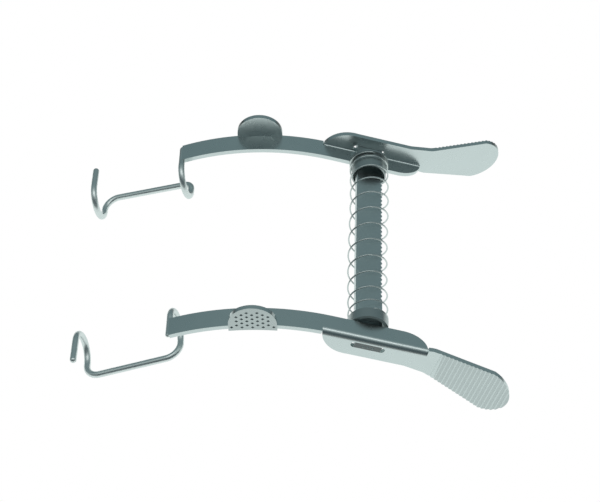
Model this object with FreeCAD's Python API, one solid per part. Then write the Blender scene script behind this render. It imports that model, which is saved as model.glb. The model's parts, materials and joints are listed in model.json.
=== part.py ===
import FreeCAD, Part
import math
import os

os.makedirs("parts", exist_ok=True)

V = FreeCAD.Vector

# The retractor is drawn square to its rack bar: x runs towards the handles, y along the bar from the
# near arm to the far arm, z out of the bar's flat face. The last step lays it down as it lies on a table.

# Rack bar
arms_apart = 84.2          # between the two bearing plates when the arms are fully open
bar_width = 8.6
bar_thickness = 2.3
bar_edge_round = 0.35
tooth_pitch = 1.73
tooth_depth = 0.55
tooth_flat = 0.2
teeth_from = 18.0          # first tooth, from the near plate
slot_length = 10.9
slot_play = 0.1            # all round, between the bar and the far slot
stake_play = 0.02          # between the bar and the near slot, before it is staked
stake_mark_radius = 0.45
stake_mark_pitch = 1.5

# Sheet that both arms are pressed from
sheet = 1.5
strip_width = 6.8
fold_radius = 0.5          # inside radius of the folds
near_strip_top = 3.2       # strip passes over the bar
far_strip_top = -1.47      # strip passes under the bar
plate_height = 8.0
plate_left = 15.3          # from the bar's middle to where the plate runs out
plate_ramp = 10.0
strip_right = 18.4
strip_corner = 5.6
bow_from = 12.3            # where the strip starts to curve, from the bar's middle
bow_radius = 75.0
bow_length = 51.3          # along the strip's top

# Handles
handle_bend_at = 19.2
handle_bend_angle = 20.3
handle_bend_radius = 4.0
handle_length = 27.8       # along the handle from its bend
handle_height = 16.2
handle_neck = 9.8
handle_wide_at = 20.5
groove_pitch = 1.3
groove_depth = 0.28
groove_first = 0.9
groove_last = 26.2

# Finger lobes
lobe_at = 36.6             # along the strip from the bar's middle
lobe_width = 14.8
lobe_height = 8.3
lobe_straight = 1.0
lobe_proud = 0.8           # its outer face stands out from the strip's edge
lobe_heel_round = 1.1
dish_radius = 5.4
dish_depth = 0.3
knurl_pitch_across = 1.6
knurl_pitch_up = 1.85
knurl_width = 1.15
knurl_height = 1.0
knurl_depth = 0.3
knurl_margin = 0.7

# Wire blades
wire_diameter = 2.1
blade_length = 32.0        # between the two hooks
hook_offset = 0.5          # first hook's wire, past the strip's end
hook_reach = 13.0          # wire's middle at the arch, inwards from the plate
hook_drop = 12.1           # between the upper and lower wires
bar_inset = 1.5            # lower wire's middle, inwards from the plate
blade_corner = 3.6
tip_past_plate = 3.3

# Spring and its two seats
seat_play = 0.4            # lets the far arm rock on its seat
cup_outer_radius = 6.4
cup_wall = 1.0
cup_length = 3.4
cup_floor = 0.8
guide_outer_radius = 5.6
guide_wall = 0.45
guide_length = 5.8
flange_thickness = 0.7
seat_bore_play = 0.08
spring_radius = 6.15       # to the wire's middle
spring_wire = 0.45
spring_closed_turns = 1.5  # at each end
spring_open_turns = 11
spring_closed_gap = 0.06

# Stop pin across the bar's far end
stop_pin_diameter = 1.6
stop_pin_length = 5.0
stop_play = 0.25
bar_past_pin = 1.5

# How the rocking and sliding far arm is limited
rock_angle = 3.0
closed_gap = 7.0           # left between the two blades when the arms are closed

# How it lies on a table
lie_angle = 16.0

wire_radius = wire_diameter / 2
bow_angle = bow_length / bow_radius
strip_inner = sheet - strip_width


def prism(points_or_face, direction):
    face = points_or_face
    if isinstance(points_or_face, list):
        face = Part.Face(Part.makePolygon(points_or_face + [points_or_face[0]]))
    return face.extrude(direction)


def arc(start, middle, end):
    return Part.Arc(start, middle, end).toShape()


def line(start, end):
    return Part.LineSegment(start, end).toShape()


def face_of(edges):
    return Part.Face(Part.Wire(edges))


def cleaned(shape):
    """One solid without leftover seams."""
    shape = shape.removeSplitter()
    return shape.Solids[0] if len(shape.Solids) == 1 else shape


def bow_point(along, depth, top):
    """Point of the strip's side view, past the start of the bow, at a depth below its top."""
    angle = along / bow_radius
    radius = bow_radius - depth
    return V(-bow_from - radius * math.sin(angle), 0, top - bow_radius + radius * math.cos(angle))


def bowed_strip(top):
    """The arm's strip, straight past the bar and bowed down towards the blade."""
    right = strip_right
    edges = [
        line(V(right, 0, top), V(-bow_from, 0, top)),
        arc(bow_point(0, 0, top), bow_point(bow_length / 2, 0, top), bow_point(bow_length, 0, top)),
        line(bow_point(bow_length, 0, top), bow_point(bow_length, sheet, top)),
        arc(bow_point(bow_length, sheet, top), bow_point(bow_length / 2, sheet, top),
            bow_point(0, sheet, top)),
        line(V(-bow_from, 0, top - sheet), V(right, 0, top - sheet)),
        line(V(right, 0, top - sheet), V(right, 0, top)),
    ]
    strip = face_of(edges).extrude(V(0, strip_width, 0))
    strip.translate(V(0, strip_inner, 0))
    return strip


def corner_waste(x, y, size_x, size_y):
    """What is cut away outside an elliptical corner whose square corner is at x, y."""
    tall = 60.0
    block = Part.makeBox(size_x, size_y, tall, V(x - size_x, y, -tall / 2))
    middle = V(x - size_x, y + size_y, -tall / 2)
    oval = Part.Ellipse(middle, max(size_x, size_y), min(size_x, size_y))
    if size_y > size_x:
        oval.rotate(FreeCAD.Placement(middle, V(0, 0, 1), 90))
    post = Part.Face(Part.Wire(oval.toShape())).extrude(V(0, 0, tall))
    return block.cut(post)


def sheet_plan():
    """Plan of the bearing plate and handle: one thickness of sheet, bent outwards, grooved outside."""
    angle = math.radians(handle_bend_angle)
    along = V(math.cos(angle), math.sin(angle), 0)
    out = V(-math.sin(angle), math.cos(angle), 0)
    centre = V(handle_bend_at, sheet + handle_bend_radius, 0)

    def on_bend(radius, part):
        turn = angle * part
        return centre + V(radius * math.sin(turn), -radius * math.cos(turn), 0)

    outer_start = on_bend(handle_bend_radius, 1)
    inner_start = on_bend(handle_bend_radius + sheet, 1)
    edges = [
        line(V(-plate_left - 1, sheet, 0), V(handle_bend_at, sheet, 0)),
        arc(on_bend(handle_bend_radius, 0), on_bend(handle_bend_radius, 0.5), outer_start),
    ]
    here = outer_start
    station = groove_first
    while station + groove_pitch <= groove_last:
        lip = outer_start + along * station
        root = outer_start + along * (station + groove_pitch / 2) - out * groove_depth
        edges.append(line(here, lip))
        edges.append(line(lip, root))
        here = outer_start + along * (station + groove_pitch * 0.8)
        edges.append(line(root, here))
        station += groove_pitch
    end_outer = outer_start + along * (handle_length + 1)
    end_inner = inner_start + along * (handle_length + 1)
    edges += [
        line(here, end_outer),
        line(end_outer, end_inner),
        line(end_inner, inner_start),
        arc(inner_start, on_bend(handle_bend_radius + sheet, 0.5), on_bend(handle_bend_radius + sheet, 0)),
        line(V(handle_bend_at, 0, 0), V(-plate_left - 1, 0, 0)),
        line(V(-plate_left - 1, 0, 0), V(-plate_left - 1, sheet, 0)),
    ]
    return face_of(edges)


def spline(points):
    curve = Part.BSplineCurve()
    curve.interpolate(points)
    return curve.toShape()


def plate_outline():
    """Side view of the plate and handle, with the fold along the top at height 0."""
    turn = math.cos(math.radians(handle_bend_angle))
    middle = -plate_height / 2
    neck_x = handle_bend_at - 1.0
    wide_x = handle_bend_at + handle_wide_at * turn
    end_x = handle_bend_at + handle_length * turn
    half = handle_height / 2
    neck = handle_neck / 2
    low = -plate_height
    swell = (wide_x - neck_x) * 0.45
    top = spline([V(neck_x, 0, middle + neck), V(neck_x + swell, 0, middle + half * 0.78),
                  V(wide_x, 0, middle + half)])
    bottom = spline([V(wide_x, 0, middle - half), V(neck_x + swell, 0, middle - half * 0.78),
                     V(neck_x, 0, middle - neck)])
    nose = arc(V(wide_x, 0, middle + half), V(end_x, 0, middle), V(wide_x, 0, middle - half))
    ramp_middle = V(-plate_left + plate_ramp * 0.29, 0, low * 0.71)
    return face_of([
        line(V(-plate_left, 0, 0), V(neck_x - 0.4, 0, 0)),
        line(V(neck_x - 0.4, 0, 0), V(neck_x, 0, middle + neck)),
        top,
        nose,
        bottom,
        line(V(neck_x, 0, middle - neck), V(neck_x - 5.0, 0, low)),
        line(V(neck_x - 5.0, 0, low), V(-plate_left + plate_ramp, 0, low)),
        arc(V(-plate_left + plate_ramp, 0, low), ramp_middle, V(-plate_left, 0, 0)),
    ])


def fold_sector():
    """Quarter round of the fold between strip and plate, along x, with the strip's top at height 0."""
    inside = fold_radius
    outside = fold_radius + sheet
    centre = V(-plate_left, -fold_radius, -sheet - fold_radius)
    slant = math.sqrt(0.5)
    face = face_of([
        line(centre + V(0, inside, 0), centre + V(0, outside, 0)),
        arc(centre + V(0, outside, 0), centre + V(0, outside * slant, outside * slant),
            centre + V(0, 0, outside)),
        line(centre + V(0, 0, outside), centre + V(0, 0, inside)),
        arc(centre + V(0, 0, inside), centre + V(0, inside * slant, inside * slant),
            centre + V(0, inside, 0)),
    ])
    return face.extrude(V(plate_left + strip_right, 0, 0))


def slot(play):
    """Round-ended slot through the plate, along x, around the bar."""
    radius = bar_thickness / 2 + play
    half = slot_length / 2 - radius
    deep = sheet * 4
    body = Part.makeBox(2 * half, deep, 2 * radius, V(-half, -sheet, -radius))
    for side in (-half, half):
        body = body.fuse(Part.makeCylinder(radius, deep, V(side, -sheet, 0), V(0, 1, 0)))
    return body.removeSplitter()


def flange():
    """Bearing plate, fold and handle of one sheet, hanging from height 0."""
    tall = 60.0
    under_fold = -sheet - fold_radius
    upright = sheet_plan().extrude(V(0, 0, tall))
    upright.translate(V(0, 0, -tall / 2))
    over_plate = Part.makeBox(plate_left + strip_right + 1, sheet * 3, tall,
                              V(-plate_left - 1, -sheet, under_fold))
    side_view = plate_outline().extrude(V(0, tall, 0))
    side_view.translate(V(0, -tall / 2, 0))
    body = upright.cut(over_plate).fuse(fold_sector())
    return body.common(side_view)


def lobe(top):
    """Finger lobe: half disc standing on the strip's outer edge, dished inside, knurled outside."""
    angle = (lobe_at - bow_from) / bow_radius
    foot = bow_point(lobe_at - bow_from, 0, top)
    half = lobe_width / 2
    oval_height = lobe_height - lobe_straight
    steps = 12
    crown = spline([V(-half * math.cos(math.pi * i / steps), 0,
                      lobe_straight + oval_height * math.sin(math.pi * i / steps))
                    for i in range(steps + 1)])
    side_view = face_of([
        line(V(-half, 0, -sheet - 1), V(-half, 0, lobe_straight)),
        crown,
        line(V(half, 0, lobe_straight), V(half, 0, -sheet - 1)),
        line(V(half, 0, -sheet - 1), V(-half, 0, -sheet - 1)),
    ])
    body = side_view.extrude(V(0, sheet, 0))
    body.translate(V(0, lobe_proud, 0))
    sphere_radius = (dish_radius ** 2 + dish_depth ** 2) / (2 * dish_depth)
    dish_middle = V(0, lobe_proud + dish_depth - sphere_radius, lobe_height * 0.45)
    body = body.cut(Part.makeSphere(sphere_radius, dish_middle))
    body = body.cut(Part.makeCompound(knurl_pits()))
    body.rotate(V(0, 0, 0), V(0, 1, 0), -math.degrees(angle))
    body.translate(foot)
    below = Part.makeCylinder(bow_radius - sheet, sheet * 6, V(-bow_from, -sheet, top - bow_radius), V(0, 1, 0))
    return body.cut(below)


def knurl_pits():
    """Staggered diamond pits over the lobe's outer face."""
    pits = []
    half = lobe_width / 2 - knurl_margin
    face = lobe_proud + sheet
    columns = int(half / knurl_pitch_across)
    oval_height = lobe_height - lobe_straight - knurl_margin
    for column in range(-columns, columns + 1):
        x = column * knurl_pitch_across
        shift = 0.5 * (column % 2)
        for row in range(8):
            z = (row + shift) * knurl_pitch_up - 0.3
            reach = (x / half) ** 2 + (max(z + knurl_height / 2 - lobe_straight, 0) / oval_height) ** 2
            if abs(x) + knurl_width / 2 > half + knurl_margin / 2 or reach > 0.93:
                continue
            pits.append(pit(x, face, z))
    return pits


def pit(x, face, z):
    """Four-sided pit with its mouth on the face and its point inside."""
    over = 0.2
    grow = 1 + over / knurl_depth
    w = knurl_width / 2 * grow
    h = knurl_height / 2 * grow
    point = V(x, face - knurl_depth, z)
    rim = [V(x - w, face + over, z), V(x, face + over, z + h), V(x + w, face + over, z), V(x, face + over, z - h)]
    faces = [Part.Face(Part.makePolygon(rim + [rim[0]]))]
    for i in range(4):
        faces.append(Part.Face(Part.makePolygon([rim[i], rim[(i + 1) % 4], point, rim[i]])))
    return Part.makeSolid(Part.makeShell(faces))


def blade_frame(top):
    """Foot, direction along the blade and direction off its face, at the strip's end."""
    foot = bow_point(bow_length, sheet / 2, top)
    along = V(-math.cos(bow_angle), 0, -math.sin(bow_angle))
    off = V(-math.sin(bow_angle), 0, math.cos(bow_angle))
    return foot, along, off


def blade_point(top, along, out, off):
    """Point of the blade from the strip's end: along it, out from the plate, off its face."""
    foot, a, n = blade_frame(top)
    return foot + a * along + V(0, out, 0) + n * off


def blade_wire(top):
    """Wire blade: two arched hooks joined by a straight lower wire, with one free rounded tip."""
    arch = hook_drop / 2
    straight_in = -(hook_reach - arch)
    slant = math.sqrt(0.5)
    first = hook_offset
    last = hook_offset + blade_length
    lower = -hook_drop
    turn = -bar_inset - blade_corner

    def p(along, out, off):
        return blade_point(top, along, out, off)

    def hook(at):
        return [p(at, straight_in, 0), p(at, straight_in - arch, -arch), p(at, straight_in, lower)]

    corner = blade_corner
    tip_out = tip_past_plate - wire_radius
    down = hook(first)
    up = hook(last)
    edges = [
        line(p(first, sheet, 0), down[0]),
        arc(*down),
        line(down[2], p(first, turn, lower)),
        arc(p(first, turn, lower), p(first + corner * (1 - slant), turn + corner * slant, lower),
            p(first + corner, -bar_inset, lower)),
        line(p(first + corner, -bar_inset, lower), p(last - corner, -bar_inset, lower)),
        arc(p(last - corner, -bar_inset, lower),
            p(last - corner * (1 - slant), turn + corner * slant, lower), p(last, turn, lower)),
        line(p(last, turn, lower), up[2]),
        arc(up[2], up[1], up[0]),
        line(up[0], p(last, tip_out, 0)),
    ]
    path = Part.Wire(edges)
    ring = Part.Wire(Part.makeCircle(wire_radius, p(first, sheet, 0), V(0, -1, 0)))
    body = path.makePipeShell([ring], True, False)
    tip = Part.makeSphere(wire_radius, p(last, tip_out, 0))
    return cleaned(body.fuse(tip))


def arm(top, under_bar, play):
    """One pressed arm: strip, fold, bearing plate, handle and finger lobe, cut for bar and blade."""
    strip = bowed_strip(top)
    spare = Part.makeBox(plate_left + strip_right + 1, sheet * 3, sheet * 3,
                         V(-plate_left, -fold_radius, top - sheet * 2))
    strip = strip.cut(spare)
    strip = strip.cut(corner_waste(strip_right, strip_inner, strip_corner * 1.4, strip_corner))
    plate = flange()
    if under_bar:
        plate = plate.mirror(V(0, 0, 0), V(0, 0, 1))
        plate.translate(V(0, 0, top - sheet))
    else:
        plate.translate(V(0, 0, top))
    body = strip.fuse([plate, lobe(top)])
    body = body.cut(slot(play))
    seat = Part.makeCylinder(wire_radius, strip_width * 3,
                             blade_point(top, hook_offset, -strip_width * 2, 0), V(0, 1, 0))
    return cleaned(body.cut(seat))


def to_near_side(shape):
    return shape.mirror(V(0, 0, 0), V(0, 1, 0))


def to_far_side(shape):
    shape = shape.copy()
    shape.translate(V(0, arms_apart, 0))
    return shape


stop_pin_y = arms_apart + sheet + stop_play + stop_pin_diameter / 2
bar_end = stop_pin_y + stop_pin_diameter / 2 + bar_past_pin


def rack_bar():
    """Flat bar with rack teeth on its handle side, staked in the near plate, drilled for the stop pin."""
    half = bar_width / 2
    root = half - tooth_depth
    points = [V(-half, -sheet, 0), V(half, -sheet, 0)]
    y = teeth_from
    while y + tooth_pitch < arms_apart - tooth_pitch:
        points.append(V(half, y, 0))
        points.append(V(root, y + (tooth_pitch - tooth_flat) / 2, 0))
        points.append(V(half, y + tooth_pitch - tooth_flat, 0))
        y += tooth_pitch
    points += [V(half, bar_end, 0), V(-half, bar_end, 0)]
    body = prism(points, V(0, 0, bar_thickness))
    body.translate(V(0, 0, -bar_thickness / 2))
    smooth_edges = [e for e in body.Edges
                    if e.BoundBox.YLength > arms_apart and e.BoundBox.XMax < 0]
    body = body.makeFillet(bar_edge_round, smooth_edges)
    for i in (-1, 0, 1):
        body = body.cut(Part.makeSphere(stake_mark_radius, V(i * stake_mark_pitch, -sheet, 0)))
    hole = Part.makeCylinder(stop_pin_diameter / 2, bar_thickness * 3, V(0, stop_pin_y, -bar_thickness * 1.5))
    return cleaned(body.cut(hole))


def stop_pin():
    half = stop_pin_length / 2
    body = Part.makeCylinder(stop_pin_diameter / 2, stop_pin_length, V(0, stop_pin_y, -half))
    return body.makeChamfer(stop_pin_diameter * 0.15, body.Edges[0:1] + body.Edges[2:3])


def bar_hole(play):
    """Rectangular bore of a spring seat, around the bar."""
    width = bar_width + 2 * play
    thick = bar_thickness + 2 * play
    return Part.makeBox(width, arms_apart * 2, thick, V(-width / 2, -arms_apart / 2, -thick / 2))


near_cup_start = -strip_inner + seat_play
near_seat = near_cup_start + cup_length
far_flange_end = arms_apart + strip_inner - seat_play
far_seat = far_flange_end - flange_thickness


def near_spring_cup():
    """Cup on the bar beside the near strip, open towards it; its floor carries the spring."""
    outer = Part.makeCylinder(cup_outer_radius, cup_length, V(0, near_cup_start, 0), V(0, 1, 0))
    inner = Part.makeCylinder(cup_outer_radius - cup_wall, cup_length - cup_floor,
                              V(0, near_cup_start, 0), V(0, 1, 0))
    return cleaned(outer.cut(inner).cut(bar_hole(seat_bore_play)))


def far_spring_guide():
    """Flanged sleeve on the bar beside the far strip; the spring slips over it and pushes its flange."""
    flange_disc = Part.makeCylinder(cup_outer_radius, flange_thickness, V(0, far_seat, 0), V(0, 1, 0))
    flange_disc = flange_disc.cut(bar_hole(seat_bore_play))
    outer = Part.makeCylinder(guide_outer_radius, guide_length, V(0, far_seat - guide_length, 0), V(0, 1, 0))
    inner = Part.makeCylinder(guide_outer_radius - guide_wall, guide_length,
                              V(0, far_seat - guide_length, 0), V(0, 1, 0))
    return cleaned(flange_disc.fuse(outer.cut(inner)))


def spring():
    """Open coil spring with closed ends, right-handed, between the cup's floor and the guide's flange."""
    radius = spring_wire / 2
    start = near_seat + radius + 0.02
    end = far_seat - radius - 0.02
    closed_pitch = spring_wire + spring_closed_gap
    closed = closed_pitch * spring_closed_turns
    open_length = end - start - 2 * closed
    turns = [(closed_pitch, spring_closed_turns),
             (open_length / spring_open_turns, spring_open_turns),
             (closed_pitch, spring_closed_turns)]
    points = []
    total = 0.0
    y = start
    per_turn = 16
    for pitch, count in turns:
        steps = int(round(count * per_turn))
        for i in range(steps):
            angle = 2 * math.pi * (total + i / per_turn)
            points.append(V(spring_radius * math.sin(angle), y + pitch * i / per_turn,
                            spring_radius * math.cos(angle)))
        total += count
        y += pitch * count
    angle = 2 * math.pi * total
    points.append(V(spring_radius * math.sin(angle), y, spring_radius * math.cos(angle)))
    curve = Part.BSplineCurve()
    curve.interpolate(points)
    path = Part.Wire(curve.toShape())
    ring = Part.Wire(Part.makeCircle(radius, points[0], curve.tangent(curve.FirstParameter)[0]))
    return path.makePipeShell([ring], True, True).Solids[0]


nodes = {
    "near_arm": to_near_side(arm(near_strip_top, False, stake_play)),
    "near_blade_wire": to_near_side(blade_wire(near_strip_top)),
    "far_arm": to_far_side(arm(far_strip_top, True, slot_play)),
    "far_blade_wire": to_far_side(blade_wire(far_strip_top)),
    "rack_bar": rack_bar(),
    "stop_pin": stop_pin(),
    "near_spring_cup": near_spring_cup(),
    "far_spring_guide": far_spring_guide(),
    "spring": spring(),
}

# Lay it on a table: turned about the bar's direction, lowest point on the table, middle over the origin.
for shape in nodes.values():
    shape.rotate(V(0, 0, 0), V(0, 1, 0), lie_angle)
box = FreeCAD.BoundBox()
for shape in nodes.values():
    box.add(shape.optimalBoundingBox(False))
shift = V(-box.Center.x, -box.Center.y, -box.ZMin)
for shape in nodes.values():
    shape.translate(shift)

blades_apart = arms_apart - 2 * (hook_reach + wire_radius)
travel = blades_apart - closed_gap
tilt = math.radians(lie_angle)


def laid(point):
    x = point.x * math.cos(tilt) + point.z * math.sin(tilt)
    z = point.z * math.cos(tilt) - point.x * math.sin(tilt)
    return V(x, point.y, z) + shift


print("box", round(box.XLength, 2), round(box.YLength, 2), round(box.ZLength, 2))
print("far arm travel", round(travel, 2), "blades apart when open", round(blades_apart, 2))
print("bar middle at the near plate", laid(V(0, 0, 0)), "rock pivot", laid(V(0, arms_apart + sheet / 2, 0)))
print("rock axis", math.sin(tilt), 0, math.cos(tilt))
for name, shape in nodes.items():
    print(name, "solids", len(shape.Solids), "valid", shape.isValid(), "volume", round(shape.Volume, 2))
    shape.exportStep("parts/" + name + ".step")
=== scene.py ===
import json
import math
import bpy
import numpy as np
from mathutils import Matrix, Vector


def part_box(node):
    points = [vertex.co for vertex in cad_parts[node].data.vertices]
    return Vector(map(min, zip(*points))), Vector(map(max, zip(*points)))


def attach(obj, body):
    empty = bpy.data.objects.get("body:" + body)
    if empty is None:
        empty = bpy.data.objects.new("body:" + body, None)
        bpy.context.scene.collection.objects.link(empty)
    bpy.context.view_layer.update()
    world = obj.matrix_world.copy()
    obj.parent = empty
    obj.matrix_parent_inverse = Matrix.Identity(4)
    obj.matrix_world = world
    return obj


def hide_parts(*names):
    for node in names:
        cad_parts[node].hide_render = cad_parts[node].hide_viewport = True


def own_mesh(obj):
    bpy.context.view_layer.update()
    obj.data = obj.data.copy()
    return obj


bl_info = {
    "name": "Self retaining retractor",
    "version": (1, 0, 0),
    "blender": (4, 5, 0),
    "location": "3D View > Sidebar > Retractor",
    "description": "Steel finishes, blade wires, coil spring and studio of a spring-opened retractor",
    "category": "Add Mesh",
}

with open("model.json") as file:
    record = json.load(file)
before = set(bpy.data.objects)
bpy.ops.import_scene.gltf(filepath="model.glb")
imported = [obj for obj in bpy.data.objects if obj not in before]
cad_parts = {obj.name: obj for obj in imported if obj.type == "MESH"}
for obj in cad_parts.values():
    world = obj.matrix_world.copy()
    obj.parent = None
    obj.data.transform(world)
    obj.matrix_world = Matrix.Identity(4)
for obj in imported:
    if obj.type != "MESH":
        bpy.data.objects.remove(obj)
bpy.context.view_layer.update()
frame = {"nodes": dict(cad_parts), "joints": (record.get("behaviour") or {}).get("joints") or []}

MM = 0.001
IMAGE_WIDTH = 600
SENSOR_WIDTH = 36.0

rock = next(j for j in frame["joints"] if j["name"] == "arm_rock")
spring_low, spring_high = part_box("spring")

BAR_MIDDLE = Vector(rock["pos_m"])
FACE_NORMAL = Vector(rock["axis"]).normalized()
BAR_ALONG = Vector((0, 1, 0))
BAR_ACROSS = BAR_ALONG.cross(FACE_NORMAL).normalized()


def tube(path, radius, around, reference=BAR_ALONG):
    """A round wire along a path: each point of the path carries a circle of points, as many as around
    says, in the plane square to the path. The circles are all turned alike about a reference direction
    that the path never takes."""
    step = np.gradient(path, axis=0)
    tangent = step / np.linalg.norm(step, axis=1, keepdims=True)
    side = np.cross(tangent, np.array(reference, float))
    side /= np.linalg.norm(side, axis=1, keepdims=True)
    up = np.cross(side, tangent)
    turn = np.linspace(0, 2 * math.pi, around, endpoint=False)
    ring = (
        side[:, None, :] * np.cos(turn)[None, :, None]
        + up[:, None, :] * np.sin(turn)[None, :, None]
    )
    return path[:, None, :] + ring * radius


def mesh_of(name, grid, material):
    """Joins a grid of points (rows along a wire, columns around it) into one closed and smooth mesh: quads
    between the rows, and at each end triangles round a middle point."""
    rows, columns = grid.shape[:2]
    index = np.arange(rows * columns).reshape(rows, columns)
    following = np.roll(index, -1, axis=1)
    quads = np.stack([index[:-1], following[:-1], following[1:], index[1:]], -1)
    points = grid.reshape(-1, 3).tolist()
    faces = quads.reshape(-1, 4).tolist()
    for row, order in ((0, -1), (-1, 1)):
        ends = np.stack([index[row], following[row]], -1)[:, ::order]
        faces += [[*pair, len(points)] for pair in ends.tolist()]
        points.append(grid[row].mean(axis=0).tolist())
    mesh = bpy.data.meshes.new(name)
    mesh.from_pydata(points, [], faces)
    mesh.polygons.foreach_set("use_smooth", np.ones(len(mesh.polygons), bool))
    mesh.materials.append(material)
    mesh.update()
    piece = bpy.data.objects.new(name, mesh)
    bpy.context.scene.collection.objects.link(piece)
    return piece


def new_group(name, inputs, outputs):
    """An empty shader node group with its inputs (name, socket type, default) and outputs (name, type)."""
    group = bpy.data.node_groups.new(name, "ShaderNodeTree")
    for label, kind, default in inputs:
        socket = group.interface.new_socket(label, in_out="INPUT", socket_type=kind)
        socket.default_value = default
    for label, kind in outputs:
        group.interface.new_socket(label, in_out="OUTPUT", socket_type=kind)
    return group, group.nodes.new("NodeGroupInput"), group.nodes.new("NodeGroupOutput")


def math_node(tree, operation, first, second=None, clamp=False):
    """One Math node; each operand is a number or an output socket."""
    node = tree.nodes.new("ShaderNodeMath")
    node.operation = operation
    node.use_clamp = clamp
    for socket, value in zip(node.inputs, (first, second)):
        if value is None:
            continue
        if isinstance(value, (int, float)):
            socket.default_value = value
        else:
            tree.links.new(value, socket)
    return node.outputs[0]


def noise(tree, vector, detail):
    """A noise texture that is looked up at the given socket."""
    node = tree.nodes.new("ShaderNodeTexNoise")
    node.inputs["Detail"].default_value = detail
    tree.links.new(vector, node.inputs["Vector"])
    return node


GRAIN_DETAIL = 3.0
GRAIN_ROUGHNESS = 0.6
CLOUD_DETAIL = 2.0
SMEAR_DETAIL = 4.0
SMEAR_SCALE = 260.0


def satin_grain_group():
    """Grain of blasted and brushed steel: fine noise that can be drawn out along one direction for the
    height, a broad cloud for the tone and a smear for the gloss. All three outputs are around 0.5."""
    group, entry, leave = new_group(
        "satin_grain",
        [
            ("Stretch", "NodeSocketVector", (1.0, 1.0, 1.0)),
            ("Grain Size", "NodeSocketFloat", 4000.0),
            ("Cloud Size", "NodeSocketFloat", 90.0),
        ],
        [
            ("Height", "NodeSocketFloat"),
            ("Tone", "NodeSocketFloat"),
            ("Gloss", "NodeSocketFloat"),
        ],
    )
    place = group.nodes.new("ShaderNodeTexCoord")
    drawn = group.nodes.new("ShaderNodeMapping")
    group.links.new(place.outputs["Object"], drawn.inputs["Vector"])
    group.links.new(entry.outputs["Stretch"], drawn.inputs["Scale"])
    grain = noise(group, drawn.outputs["Vector"], GRAIN_DETAIL)
    grain.inputs["Roughness"].default_value = GRAIN_ROUGHNESS
    group.links.new(entry.outputs["Grain Size"], grain.inputs["Scale"])
    cloud = noise(group, place.outputs["Object"], CLOUD_DETAIL)
    group.links.new(entry.outputs["Cloud Size"], cloud.inputs["Scale"])
    smear = noise(group, place.outputs["Object"], SMEAR_DETAIL)
    smear.inputs["Scale"].default_value = SMEAR_SCALE
    group.links.new(grain.outputs["Fac"], leave.inputs["Height"])
    group.links.new(cloud.outputs["Fac"], leave.inputs["Tone"])
    group.links.new(smear.outputs["Fac"], leave.inputs["Gloss"])
    return group


EDGE_SAMPLES = 16
EDGE_RADIUS = 0.15 * MM


def edge_gloss_and_highlight_group():
    """A mask of the edges, which lays a painted highlight along them and makes them smoother: the normal
    rounded over the edge differs from the face's own normal, and their dot product tells how near the edge
    is."""
    group, entry, leave = new_group(
        "edge_gloss_and_highlight",
        [("Sharpness", "NodeSocketFloat", 2.0)],
        [("Edge", "NodeSocketFloat")],
    )
    rounded = group.nodes.new("ShaderNodeBevel")
    rounded.samples = EDGE_SAMPLES
    rounded.inputs["Radius"].default_value = EDGE_RADIUS
    surface = group.nodes.new("ShaderNodeNewGeometry")
    dot = group.nodes.new("ShaderNodeVectorMath")
    dot.operation = "DOT_PRODUCT"
    group.links.new(rounded.outputs["Normal"], dot.inputs[0])
    group.links.new(surface.outputs["Normal"], dot.inputs[1])
    bent = math_node(group, "SUBTRACT", 1.0, dot.outputs["Value"])
    edge = math_node(group, "MULTIPLY", bent, entry.outputs["Sharpness"], clamp=True)
    group.links.new(edge, leave.inputs["Edge"])
    return group


CLOUD_SHADE = 0.93         # the darkest tone of a steel, against its tint
GLOSS_SPREAD = 0.08        # how much the roughness varies from place to place
EDGE_GLOSS = 0.12          # how much smoother a rubbed edge is
RELIEF_DEPTH = 0.01 * MM


def darker(colour, shade):
    """A colour whose three parts are multiplied by the shade."""
    return tuple(part * shade for part in colour)


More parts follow.
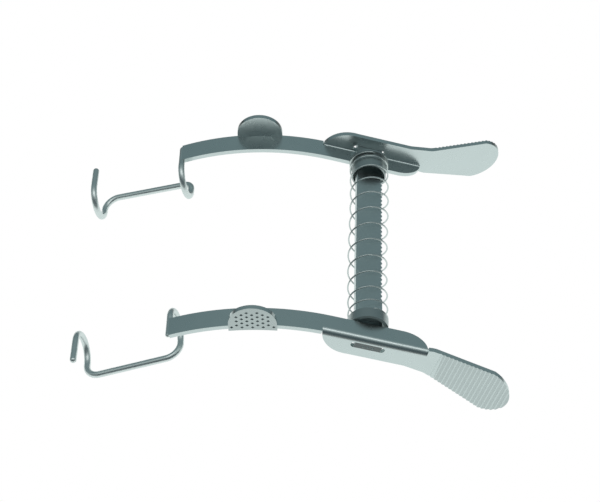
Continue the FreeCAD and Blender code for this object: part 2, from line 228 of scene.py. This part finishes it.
def steel(name, tint, bright, roughness, grain_size, stretch, bump):
    """Stainless steel: one metallic shader whose tone, gloss and fine relief come from the shared groups.
    Near edges its tint turns to the bright colour, a painted highlight; the last three values are the
    grain's."""
    material = bpy.data.materials.new(name)
    material.use_nodes = True
    tree = material.node_tree
    tree.nodes.clear()
    out = tree.nodes.new("ShaderNodeOutputMaterial")
    shader = tree.nodes.new("ShaderNodeBsdfPrincipled")
    shader.inputs["Metallic"].default_value = 1.0
    tree.links.new(shader.outputs["BSDF"], out.inputs["Surface"])
    grain = tree.nodes.new("ShaderNodeGroup")
    grain.node_tree = shared("satin_grain", satin_grain_group)
    grain.inputs["Stretch"].default_value = stretch
    grain.inputs["Grain Size"].default_value = grain_size
    edge = tree.nodes.new("ShaderNodeGroup")
    edge.node_tree = shared("edge_gloss_and_highlight", edge_gloss_and_highlight_group)
    cloudy = tree.nodes.new("ShaderNodeMix")
    cloudy.data_type = "RGBA"
    cloudy.inputs["A"].default_value = (*darker(tint, CLOUD_SHADE), 1.0)
    cloudy.inputs["B"].default_value = (*tint, 1.0)
    tree.links.new(grain.outputs["Tone"], cloudy.inputs["Factor"])
    # Painted highlight: near edges the tint is mixed towards the bright colour.
    edge_lit = tree.nodes.new("ShaderNodeMix")
    edge_lit.data_type = "RGBA"
    edge_lit.inputs["B"].default_value = (*bright, 1.0)
    tree.links.new(edge.outputs["Edge"], edge_lit.inputs["Factor"])
    tree.links.new(cloudy.outputs["Result"], edge_lit.inputs["A"])
    tree.links.new(edge_lit.outputs["Result"], shader.inputs["Base Color"])
    spread = math_node(tree, "MULTIPLY_ADD", grain.outputs["Gloss"], GLOSS_SPREAD)
    spread.node.inputs[2].default_value = roughness - GLOSS_SPREAD / 2
    polish = math_node(tree, "MULTIPLY", edge.outputs["Edge"], EDGE_GLOSS)
    tree.links.new(
        math_node(tree, "SUBTRACT", spread, polish, clamp=True),
        shader.inputs["Roughness"],
    )
    relief = tree.nodes.new("ShaderNodeBump")
    relief.inputs["Strength"].default_value = bump
    relief.inputs["Distance"].default_value = RELIEF_DEPTH
    tree.links.new(grain.outputs["Height"], relief.inputs["Height"])
    tree.links.new(relief.outputs["Normal"], shader.inputs["Normal"])
    return material


def shared(name, make):
    """The named node group, made the first time it is asked for."""
    return bpy.data.node_groups.get(name) or make()


def finish_nodes(material, *nodes):
    """Gives CAD nodes a material on all of their slots."""
    for name in nodes:
        mesh = frame["nodes"][name].data
        mesh.materials.clear()
        mesh.materials.append(material)
        mesh.polygons.foreach_set(
            "material_index", np.zeros(len(mesh.polygons), np.int32)
        )
        mesh.update()


def shade_chosen_faces(node, material, chosen):
    """Gives the chosen faces of a CAD node (those whose middle and normal pass a test on whole arrays)
    another material in a further slot: a darker one, which paints shade on them."""
    mesh = frame["nodes"][node].data
    count = len(mesh.polygons)
    middle = np.empty(3 * count, np.float32)
    normal = np.empty(3 * count, np.float32)
    mesh.polygons.foreach_get("center", middle)
    mesh.polygons.foreach_get("normal", normal)
    picked = chosen(middle.reshape(-1, 3), normal.reshape(-1, 3))
    if not picked.any():
        raise ValueError("no face of " + node + " was chosen")
    slots = np.empty(count, np.int32)
    mesh.polygons.foreach_get("material_index", slots)
    slots[picked] = len(mesh.materials)
    mesh.materials.append(material)
    mesh.polygons.foreach_set("material_index", slots)
    mesh.update()


class RetractorSteel(bpy.types.PropertyGroup):
    """Colours of the steel finishes and of the painted edge highlight, and how rough the satin one is."""

    satin: bpy.props.FloatVectorProperty(
        name="Satin steel",
        description="Colour of the blasted arms, cup and guide",
        subtype="COLOR",
        default=(0.65, 0.71, 0.705),
    )
    bar: bpy.props.FloatVectorProperty(
        name="Bar steel",
        description="Colour of the machined bar and its pin",
        subtype="COLOR",
        default=(0.63, 0.69, 0.69),
    )
    wire: bpy.props.FloatVectorProperty(
        name="Wire steel",
        description="Colour of the drawn wire of the blades",
        subtype="COLOR",
        default=(0.74, 0.79, 0.78),
    )
    spring: bpy.props.FloatVectorProperty(
        name="Spring steel",
        description="Colour of the coil spring",
        subtype="COLOR",
        default=(0.66, 0.70, 0.69),
    )
    # Colour of the painted highlight that edges are mixed towards.
    edge_highlight: bpy.props.FloatVectorProperty(
        name="Polished edge",
        description="Colour of edges that are rubbed bright",
        subtype="COLOR",
        default=(0.86, 0.89, 0.88),
    )
    roughness: bpy.props.FloatProperty(
        name="Satin roughness",
        description="Roughness of the blasted steel",
        subtype="FACTOR",
        default=0.28,
    )


class RetractorBlades(bpy.types.PropertyGroup):
    """Sizes of the two blades of bent wire."""

    wire: bpy.props.FloatProperty(
        name="Wire",
        description="Diameter of the wire",
        unit="LENGTH",
        default=2.1 * MM,
    )
    length: bpy.props.FloatProperty(
        name="Length",
        description="Distance between the two hooks of a blade",
        unit="LENGTH",
        default=32.2 * MM,
    )
    slope: bpy.props.FloatProperty(
        name="Slope",
        description="How steeply the blade drops away from its arm",
        subtype="ANGLE",
        default=math.radians(21.85),
    )
    drop: bpy.props.FloatProperty(
        name="Drop",
        description="Height between the upper and lower wires",
        unit="LENGTH",
        default=12.1 * MM,
    )
    lean: bpy.props.FloatProperty(
        name="Lean",
        description="How much nearer the blade's tip the lower wires lie",
        unit="LENGTH",
        default=1.8 * MM,
    )


class RetractorSpring(bpy.types.PropertyGroup):
    """Sizes of the coil spring round the bar."""

    wire: bpy.props.FloatProperty(
        name="Wire",
        description="Diameter of the spring's wire",
        unit="LENGTH",
        default=0.5 * MM,
    )
    coil: bpy.props.FloatProperty(
        name="Coil radius",
        description="Radius from the bar's axis to the middle of the wire",
        unit="LENGTH",
        default=6.15 * MM,
    )
    turns: bpy.props.FloatProperty(
        name="Turns",
        description="Number of turns between the two seats",
        default=12.0,
    )
    closing: bpy.props.FloatProperty(
        name="Closing",
        description="How far the turns crowd together at the far end",
        subtype="FACTOR",
        default=0.97,
    )
    near_closing: bpy.props.FloatProperty(
        name="Near closing",
        description="How far the turns crowd together at the near end",
        subtype="FACTOR",
        default=0.7,
    )
    sway: bpy.props.FloatProperty(
        name="Sway",
        description="How far it leans to the blades' side and then to the handles' side of the bar",
        unit="LENGTH",
        default=0.25 * MM,
    )


class RetractorStudio(bpy.types.PropertyGroup):
    """Camera, floor and light."""

    focal_pixels: bpy.props.FloatProperty(
        name="Focal length",
        description="Distance of the picture plane in widths of one pixel",
        default=2076.75,
    )
    azimuth: bpy.props.FloatProperty(
        name="Azimuth",
        description="Turn of the camera's view from straight across the arms",
        subtype="ANGLE",
        default=math.radians(-1.105),
    )
    elevation: bpy.props.FloatProperty(
        name="Elevation",
        description="How far the camera looks down",
        subtype="ANGLE",
        default=math.radians(47.086),
    )
    roll: bpy.props.FloatProperty(
        name="Roll",
        description="Turn of the camera about its own view",
        subtype="ANGLE",
        default=math.radians(0.583),
    )
    position: bpy.props.FloatVectorProperty(
        name="Camera position",
        description="Where the camera stands",
        subtype="TRANSLATION",
        default=(0.011452, -0.453611, 0.510390),
    )
    backdrop: bpy.props.FloatVectorProperty(
        name="Floor seen",
        description="Colour of the plain floor as the camera sees it",
        subtype="COLOR",
        default=(1.0, 1.0, 1.0),
    )
    floor: bpy.props.FloatVectorProperty(
        name="Floor light",
        description="Light that the floor throws back on the steel",
        subtype="COLOR",
        default=(0.86, 0.93, 0.92),
    )
    overhead: bpy.props.FloatProperty(
        name="Overhead light",
        description="Watts of the long soft box above",
        default=1.8,
    )


SETTINGS = {
    "retractor_steel": RetractorSteel,
    "retractor_blades": RetractorBlades,
    "retractor_spring": RetractorSpring,
    "retractor_studio": RetractorStudio,
}

# The grain of each finish: scale of its noise, stretch along x, y and z, and strength of its relief.
SATIN_GRAIN = (6500, (1, 1, 1), 0.18)
TURNED_GRAIN = (2600, (0.3, 3.0, 0.3), 0.2)
MILLED_GRAIN = (2400, (2.6, 0.4, 2.6), 0.25)
BAR_END_GRAIN = (2400, (1, 1, 1), 0.25)
WIRE_GRAIN = (5200, (1, 1, 1), 0.08)
SPRING_GRAIN = (3800, (1, 1, 1), 0.2)
TURNED_ROUGHNESS = 0.38
MILLED_ROUGHNESS = 0.32
BAR_END_ROUGHNESS = 0.5
WIRE_ROUGHNESS = 0.34
SPRING_ROUGHNESS = 0.24

# How dark each painted shade is, as a share of the satin steel's colour or of the bar's: in the grooves and
# the knurl, on the spring seats inside the coil, and a painted shadow on the bar's end in its slot.
GROOVE_SHADE = 0.8
KNURL_SHADE = 0.78
SEAT_SHADE = 0.7
BAR_END_SHADE = 0.3

# Where the faces with painted shade lie, in metres, and which way they look, as the cosine to a direction.
ARMS = {"near_arm": -1, "far_arm": 1}      # with the way out from the bar's middle along y
HANDLE_FROM = 0.0465       # the handles' grooved faces lie past this x
HANDLE_LEAN = 0.37         # their slope along x, from the bend between plate and handle
GROOVE_FACING = (0.4, 0.985)               # a groove's flank, to the handle's face
LOBE_FACE = 0.0441         # the lobes' knurled faces lie past this distance from y = 0
LOBE_FACING = 0.5          # to the way out
BAR_END = -0.0429          # the bar's staked end lies before this y
BAR_END_FACING = -0.95     # to y


class RETRACTOR_OT_arms(bpy.types.Operator):
    """Gives the two pressed arms their satin finish, with painted shade on the grooves' flanks and the
    knurled faces
    """

    bl_idname = "retractor.arms"
    bl_label = "Finish the arms"

    def execute(self, context):
        look = context.scene.retractor_steel
        satin = steel("satin_steel", look.satin, look.edge_highlight, look.roughness, *SATIN_GRAIN)
        finish_nodes(satin, "near_arm", "far_arm")
        # Painted shade: the grooves' flanks get a darker copy of the satin steel, for the shade that falls
        # in them.
        shade = darker(look.satin, GROOVE_SHADE)
        groove = steel("groove_shade_steel", shade, shade, look.roughness, *SATIN_GRAIN)
        # Painted shade: the knurled faces of the lobes get a darker copy of the satin steel, for the shade
        # in their pits.
        shade = darker(look.satin, KNURL_SHADE)
        knurled = steel("knurl_shade_steel", shade, look.satin, look.roughness, *SATIN_GRAIN)
        for node, outwards in ARMS.items():
            face = np.array((HANDLE_LEAN, outwards, 0))
            face /= np.linalg.norm(face)
            shade_chosen_faces(
                node,
                groove,
                lambda middle, normal: (middle[:, 0] > HANDLE_FROM)
                & (normal @ face > GROOVE_FACING[0])
                & (normal @ face < GROOVE_FACING[1]),
            )
            shade_chosen_faces(
                node,
                knurled,
                lambda middle, normal: (middle[:, 0] < 0)
                & (middle[:, 1] * outwards > LOBE_FACE)
                & (normal[:, 1] * outwards > LOBE_FACING),
            )
        return {"FINISHED"}


class RETRACTOR_OT_seats(bpy.types.Operator):
    """Gives the spring's cup and guide their turned grain and a darker tint, painted shade for where they
    sit inside the coil
    """

    bl_idname = "retractor.seats"
    bl_label = "Finish the spring seats"

    def execute(self, context):
        look = context.scene.retractor_steel
        # Painted shade: the cup and guide get a darker copy of the satin steel, for the shade inside the
        # coil.
        shade = darker(look.satin, SEAT_SHADE)
        turned = steel("turned_shaded_steel", shade, shade, TURNED_ROUGHNESS, *TURNED_GRAIN)
        finish_nodes(turned, "near_spring_cup", "far_spring_guide")
        return {"FINISHED"}


class RETRACTOR_OT_rack_bar(bpy.types.Operator):
    """Gives the toothed bar and its stop pin their milled finish, and a painted shadow on the bar's end
    face down in its slot
    """

    bl_idname = "retractor.rack_bar"
    bl_label = "Finish the bar"

    def execute(self, context):
        look = context.scene.retractor_steel
        milled = steel("bar_steel", look.bar, look.edge_highlight, MILLED_ROUGHNESS, *MILLED_GRAIN)
        finish_nodes(milled, "rack_bar", "stop_pin")
        # Painted shadow: the bar's staked end face gets a far darker copy of the bar steel, for the shade
        # down in the slot; its rougher grain is real.
        shade = darker(look.bar, BAR_END_SHADE)
        end = steel("bar_end_shadow_steel", shade, look.edge_highlight, BAR_END_ROUGHNESS, *BAR_END_GRAIN)
        shade_chosen_faces(
            "rack_bar",
            end,
            lambda middle, normal: (middle[:, 1] < BAR_END) & (normal[:, 1] < BAR_END_FACING),
        )
        return {"FINISHED"}


# Each blade: the node it rides, the way out from the bar's middle along y, and its foot at the middle of
# the strip's end. For its first and last hook: how far the arch reaches inwards from the foot, how far
# inwards the straight lower wire runs, and the radius of the corner between them. Then how far outwards
# the free end stops. Millimetres.
BLADES = {
    "near_blade_wire": {
        "rides": "frame",
        "outwards": -1,
        "foot": (-36.29, -42.1, 29.5),
        "reaches": (12.2, 12.2),
        "insets": (1.3, 1.3),
        "corners": (4.7, 4.7),
        "tip": 2.5,
    },
    "far_blade_wire": {
        "rides": "far_arm",
        "outwards": 1,
        "foot": (-37.58, 42.1, 25.01),
        "reaches": (13.0, 12.0),
        "insets": (3.7, 0.6),
        "corners": (2.7, 4.6),
        "tip": 2.2,
    },
}
TANG_FROM = 0.45           # the wire's flattened end, outwards from the foot
TANG_TO = -5.3             # and inwards, where it begins to be round again
TANG_FLAT = 0.69           # its thickness as a share of the wire's
TANG_SWELL = 2.4           # along the wire, until it is round again
WIRE_AROUND = 24
WIRE_SPACING = 0.35 * MM   # between the circles of points along the wire
HOOK_POINTS = 40
CORNER_POINTS = 24
BALL_RINGS = 8             # of a rounded end


class RETRACTOR_OT_blade_wires(bpy.types.Operator):
    """Bends the two wire blades"""

    bl_idname = "retractor.blade_wires"
    bl_label = "Bend the blade wires"

    def execute(self, context):
        look = context.scene.retractor_steel
        size = context.scene.retractor_blades
        drawn = steel("wire_steel", look.wire, look.edge_highlight, WIRE_ROUGHNESS, *WIRE_GRAIN)
        for node, blade in BLADES.items():
            piece = mesh_of("bent_" + node, bent_blade(size, blade), drawn)
            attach(piece, blade["rides"])
            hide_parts(node)
        return {"FINISHED"}


def bent_blade(size, blade):
    """A wire blade: two hooks joined by a straight lower wire. A hook is an upper leg, a half circle and
    a lower leg; a point on it lies at a way along the sloping blade, a distance outwards from the foot and
    a share of the drop, and the lower it lies the more the lean carries it along. Corners are arcs tangent
    to both runs. The first end is pressed flat along the strip's end: its points come nearer the wire's
    middle by 1 - thick, and thick eases to 1 with s * s * (3 - 2 * s) over the share s of the swell. Both
    ends are rounded like a ball."""
    slope = size.slope
    along = np.array((-math.cos(slope), 0, -math.sin(slope)))
    off = np.array((-math.sin(slope), 0, math.cos(slope)))
    out = np.array((0, blade["outwards"], 0))
    radius = size.wire / 2
    arch = math.hypot(size.drop, size.lean) / 2

    def point(way, outward, low=0.0):
        lowered = along * (way + low * size.lean) - off * low * size.drop
        return np.array(blade["foot"]) * MM + lowered + out * outward

    def half_circle(way, reach):
        turn = np.linspace(0, math.pi, HOOK_POINTS)[:, None]
        middle = point(way, arch - reach * MM, 0.5)
        upper = point(way, arch - reach * MM)
        return middle + (upper - middle) * np.cos(turn) - out * arch * np.sin(turn)

    first = point(0, -blade["insets"][0] * MM, 1)
    last = point(size.length, -blade["insets"][1] * MM, 1)
    before = half_circle(0, blade["reaches"][0])
    after = half_circle(size.length, blade["reaches"][1])[::-1]
    start = point(0, TANG_FROM * MM)
    end = point(size.length, blade["tip"] * MM - radius)
    path = evenly(
        np.concatenate(
            [
                start[None],
                before,
                rounded_corner(before[-1], first, last, blade["corners"][0] * MM),
                rounded_corner(first, last, after[0], blade["corners"][1] * MM),
                after,
                end[None],
            ]
        ),
        WIRE_SPACING,
    )
    grid = tube(path, radius, WIRE_AROUND, along - off)
    turn = np.linspace(0, math.pi / 2, BALL_RINGS + 1)[1:, None, None]
    last_ball = end + out * radius * np.sin(turn) + (grid[-1] - end) * np.cos(turn)
    first_ball = start + out * radius * np.sin(turn) + (grid[0] - start) * np.cos(turn)
    grid = np.concatenate([first_ball[::-1], grid, last_ball])
    path = np.concatenate([np.tile(start, (BALL_RINGS, 1)), path, np.tile(end, (BALL_RINGS, 1))])
    past = np.linalg.norm(path - start, axis=1) / MM - (TANG_FROM - TANG_TO)
    share = np.clip(past / TANG_SWELL, 0, 1)
    thick = TANG_FLAT + (1 - TANG_FLAT) * share ** 2 * (3 - 2 * share)
    above = (grid - path[:, None]) @ off
    return grid - (above * (1 - thick[:, None]))[..., None] * off


def rounded_corner(before, corner, after, radius):
    """Points of the arc that rounds the corner between two straight runs. It takes the radius over the
    tangent of half the corner's angle from each run, and both runs have to be longer than that."""
    runs = np.linalg.norm(before - corner), np.linalg.norm(after - corner)
    one = (before - corner) / runs[0]
    other = (after - corner) / runs[1]
    half = math.acos(one @ other) / 2
    if radius / math.tan(half) > min(runs):
        raise ValueError("a corner of the blade is longer than the wire beside it")
    middle = (one + other) / np.linalg.norm(one + other)
    centre = corner + middle * radius / math.sin(half)
    reach = math.pi / 2 - half
    turn = np.linspace(-reach, reach, CORNER_POINTS)[:, None]
    across = (other - one) / np.linalg.norm(other - one)
    return centre - middle * radius * np.cos(turn) + across * radius * np.sin(turn)


def evenly(points, spacing):
    """The same line with its points evenly spaced."""
    steps = np.linalg.norm(np.diff(points, axis=0), axis=1)
    way = np.concatenate([[0], np.cumsum(steps)])
    at = np.linspace(0, way[-1], int(way[-1] / spacing))
    return np.stack([np.interp(at, way, points[:, axis]) for axis in range(3)], axis=1)


FAR_CLOSING_POWER = 3
NEAR_CLOSING_POWER = 4
SWAY_POWER = 1.2
POINTS_PER_TURN = 48
SPRING_AROUND = 12


class RETRACTOR_OT_spring(bpy.types.Operator):
    """Winds the coil spring round the bar, in one pose"""

    bl_idname = "retractor.spring"
    bl_label = "Wind the spring"

    def execute(self, context):
        look = context.scene.retractor_steel
        size = context.scene.retractor_spring
        drawn = steel("spring_steel", look.spring, look.edge_highlight, SPRING_ROUGHNESS, *SPRING_GRAIN)
        piece = mesh_of("coil_spring", wound_wire(size), drawn)
        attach(piece, "frame")
        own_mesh(piece)
        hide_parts("spring")
        return {"FINISHED"}


def wound_wire(size):
    """A helix about the bar's axis. Its pitch is widest at its middle turn and closes with a power of the
    share of turns from there, towards the far end by closing and towards the near one by near_closing.
    The summed pitch, scaled to the room between the seats, is the way along. Its axis leaves the bar's by
    the sway times the sine of one full turn over the share of that way, and this share is raised to a power
    a little above one, so that the first half wave is the longer one."""
    count = int(size.turns * POINTS_PER_TURN) + 1
    share = np.linspace(-1, 1, count)
    far_share = np.maximum(share, 0) ** FAR_CLOSING_POWER
    near_share = np.maximum(-share, 0) ** NEAR_CLOSING_POWER
    pitch = 1 - size.closing * far_share - size.near_closing * near_share
    way = np.concatenate([[0], np.cumsum((pitch[1:] + pitch[:-1]) / 2)])
    low = spring_low.y + size.wire / 2
    high = spring_high.y - size.wire / 2
    along = low + (high - low) * way / way[-1]
    turn = np.linspace(0, 2 * math.pi * size.turns, count)
    middle = np.array(BAR_MIDDLE, float)
    middle[1] = 0.0
    sway = size.sway * np.sin(2 * math.pi * (way / way[-1]) ** SWAY_POWER)
    path = (
        middle
        + np.outer(along, np.array(BAR_ALONG, float))
        + np.outer(size.coil * np.sin(turn) - sway, np.array(BAR_ACROSS, float))
        + np.outer(size.coil * np.cos(turn), np.array(FACE_NORMAL, float))
    )
    return tube(path, size.wire / 2, SPRING_AROUND)


class RETRACTOR_OT_stage(bpy.types.Operator):
    """Sets the pale floor, the soft light and the camera"""

    bl_idname = "retractor.stage"
    bl_label = "Set the stage"

    def execute(self, context):
        studio = context.scene.retractor_studio
        lay_floor(studio)
        light_room(context.scene, studio)
        context.scene.camera = set_camera(studio)
        return {"FINISHED"}


FLOOR_HALF = 3.0
FLOOR_LEVEL = -0.02 * MM


def lay_floor(studio):
    """A wide flat square just under the object. The camera sees it in the backdrop's plain colour, and
    what it throws on the steel comes from its lit patch."""
    mesh = bpy.data.meshes.new("floor")
    corners = [
        (FLOOR_HALF * x, FLOOR_HALF * y, FLOOR_LEVEL)
        for x, y in ((-1, -1), (1, -1), (1, 1), (-1, 1))
    ]
    mesh.from_pydata(corners, [], [(0, 1, 2, 3)])
    floor = bpy.data.objects.new("floor", mesh)
    bpy.context.scene.collection.objects.link(floor)
    material = bpy.data.materials.new("pale_floor")
    material.use_nodes = True
    tree = material.node_tree
    tree.nodes.clear()
    out = tree.nodes.new("ShaderNodeOutputMaterial")
    choose = tree.nodes.new("ShaderNodeMixShader")
    tree.links.new(tree.nodes.new("ShaderNodeLightPath").outputs["Is Camera Ray"], choose.inputs["Fac"])
    thrown = tree.nodes.new("ShaderNodeEmission")
    thrown.inputs["Color"].default_value = (*studio.floor, 1.0)
    tree.links.new(lit_patch(tree), thrown.inputs["Strength"])
    tree.links.new(thrown.outputs["Emission"], choose.inputs[1])
    seen = tree.nodes.new("ShaderNodeEmission")
    seen.inputs["Color"].default_value = (*studio.backdrop, 1.0)
    tree.links.new(seen.outputs["Emission"], choose.inputs[2])
    tree.links.new(choose.outputs["Shader"], out.inputs["Surface"])
    mesh.materials.append(material)


# The lit patch of floor: middle and half width along x and y, how far it takes to fade, and to what.
PATCH_MIDDLE = (0.02, -0.012)
PATCH_HALF = (0.115, 0.075)
PATCH_FADE = (0.05, 0.04)
PATCH_FAR = 0.22


def lit_patch(tree):
    """Strength of the floor's light: full in a rectangle round the object, fading to dim past its sides."""
    place = tree.nodes.new("ShaderNodeTexCoord").outputs["Object"]
    parts = tree.nodes.new("ShaderNodeSeparateXYZ")
    tree.links.new(place, parts.inputs["Vector"])
    strength = None
    for axis, middle, half, fade in zip("XY", PATCH_MIDDLE, PATCH_HALF, PATCH_FADE):
        off = math_node(tree, "ABSOLUTE", math_node(tree, "SUBTRACT", parts.outputs[axis], middle))
        ease = tree.nodes.new("ShaderNodeMapRange")
        ease.interpolation_type = "SMOOTHSTEP"
        tree.links.new(off, ease.inputs["Value"])
        ease.inputs["From Min"].default_value = half
        ease.inputs["From Max"].default_value = half + fade
        ease.inputs["To Min"].default_value = 1.0
        ease.inputs["To Max"].default_value = PATCH_FAR
        share = ease.outputs["Result"]
        strength = share if strength is None else math_node(tree, "MULTIPLY", strength, share)
    return strength


# Brightness of the room along the arc from the horizon behind the far arm (0 degrees) over the top (90)
# to the horizon behind the camera (ROOM_TURN).
ROOM_TURN = 180
ROOM_ARC = {
    0: (0.15, 0.205, 0.22),
    40: (0.175, 0.245, 0.258),
    68: (0.23, 0.30, 0.31),
    86: (0.37, 0.43, 0.43),
    118: (0.36, 0.42, 0.42),
    136: (0.12, 0.155, 0.165),
    154: (0.05, 0.075, 0.085),
    180: (0.10, 0.13, 0.14),
}
OVERHEAD_PLACE = (0.0, -0.17, 1.0)
OVERHEAD_WIDTH = 1.5
OVERHEAD_DEPTH = 0.42


def light_room(scene, studio):
    """A dim room whose brightness follows the arc over the object, and one long soft box above."""
    scene.view_settings.view_transform = "Standard"
    world = bpy.data.worlds.new("room")
    world.use_nodes = True
    tree = world.node_tree
    scene.world = world
    way = tree.nodes.new("ShaderNodeTexCoord").outputs["Generated"]
    parts = tree.nodes.new("ShaderNodeSeparateXYZ")
    tree.links.new(way, parts.inputs["Vector"])
    angle = math_node(tree, "ARCTAN2", parts.outputs["Z"], parts.outputs["Y"])
    share = math_node(tree, "DIVIDE", angle, math.pi, clamp=True)
    ramp = tree.nodes.new("ShaderNodeValToRGB")
    tree.links.new(share, ramp.inputs["Fac"])
    stops = ramp.color_ramp.elements
    for place, colour in ROOM_ARC.items():
        if place == 0:
            stop = stops[0]
        elif place == ROOM_TURN:
            stop = stops[-1]
        else:
            stop = stops.new(place / ROOM_TURN)
        stop.color = (*colour, 1.0)
    tree.links.new(ramp.outputs["Color"], tree.nodes["Background"].inputs["Color"])
    lamp = bpy.data.lights.new("overhead_box", "AREA")
    lamp.shape = "RECTANGLE"
    lamp.size = OVERHEAD_WIDTH
    lamp.size_y = OVERHEAD_DEPTH
    lamp.energy = studio.overhead
    holder = bpy.data.objects.new("overhead_box", lamp)
    holder.location = OVERHEAD_PLACE
    scene.collection.objects.link(holder)


CLIP_START = 0.01
CLIP_END = 20


def set_camera(studio):
    """The camera from its place, its azimuth, elevation and roll."""
    azimuth, elevation, roll = studio.azimuth, studio.elevation, studio.roll
    forward = Vector(
        (
            math.sin(azimuth) * math.cos(elevation),
            math.cos(azimuth) * math.cos(elevation),
            -math.sin(elevation),
        )
    )
    level = Vector((math.cos(azimuth), -math.sin(azimuth), 0))
    raised = level.cross(forward)
    right = level * math.cos(roll) + raised * math.sin(roll)
    up = right.cross(forward)
    data = bpy.data.cameras.new("camera")
    data.sensor_width = SENSOR_WIDTH
    data.lens = studio.focal_pixels * SENSOR_WIDTH / IMAGE_WIDTH
    data.clip_start = CLIP_START
    data.clip_end = CLIP_END
    camera = bpy.data.objects.new("camera", data)
    turn = Matrix((right, up, -forward)).transposed().to_4x4()
    camera.matrix_world = Matrix.Translation(Vector(studio.position)) @ turn
    bpy.context.scene.collection.objects.link(camera)
    return camera


class RETRACTOR_PT_panel(bpy.types.Panel):
    """Lists the retractor's pieces and settings"""

    bl_idname = "RETRACTOR_PT_panel"
    bl_label = "Retractor"
    bl_space_type = "VIEW_3D"
    bl_region_type = "UI"
    bl_category = "Retractor"

    def draw(self, context):
        for operator in OPERATORS:
            self.layout.operator(operator.bl_idname)
        for name, group in SETTINGS.items():
            column = self.layout.column(align=True)
            for key in group.__annotations__:
                column.prop(getattr(context.scene, name), key)


OPERATORS = (
    RETRACTOR_OT_arms,
    RETRACTOR_OT_seats,
    RETRACTOR_OT_rack_bar,
    RETRACTOR_OT_blade_wires,
    RETRACTOR_OT_spring,
    RETRACTOR_OT_stage,
)


def register():
    for kind in (*SETTINGS.values(), *OPERATORS, RETRACTOR_PT_panel):
        bpy.utils.register_class(kind)
    for name, group in SETTINGS.items():
        setattr(bpy.types.Scene, name, bpy.props.PointerProperty(type=group))


def unregister():
    for name in SETTINGS:
        delattr(bpy.types.Scene, name)
    for kind in reversed((*SETTINGS.values(), *OPERATORS, RETRACTOR_PT_panel)):
        bpy.utils.unregister_class(kind)


def main():
    register()
    bpy.ops.retractor.arms()
    bpy.ops.retractor.seats()
    bpy.ops.retractor.rack_bar()
    bpy.ops.retractor.blade_wires()
    bpy.ops.retractor.spring()
    bpy.ops.retractor.stage()


if __name__ == "__main__":
    main()
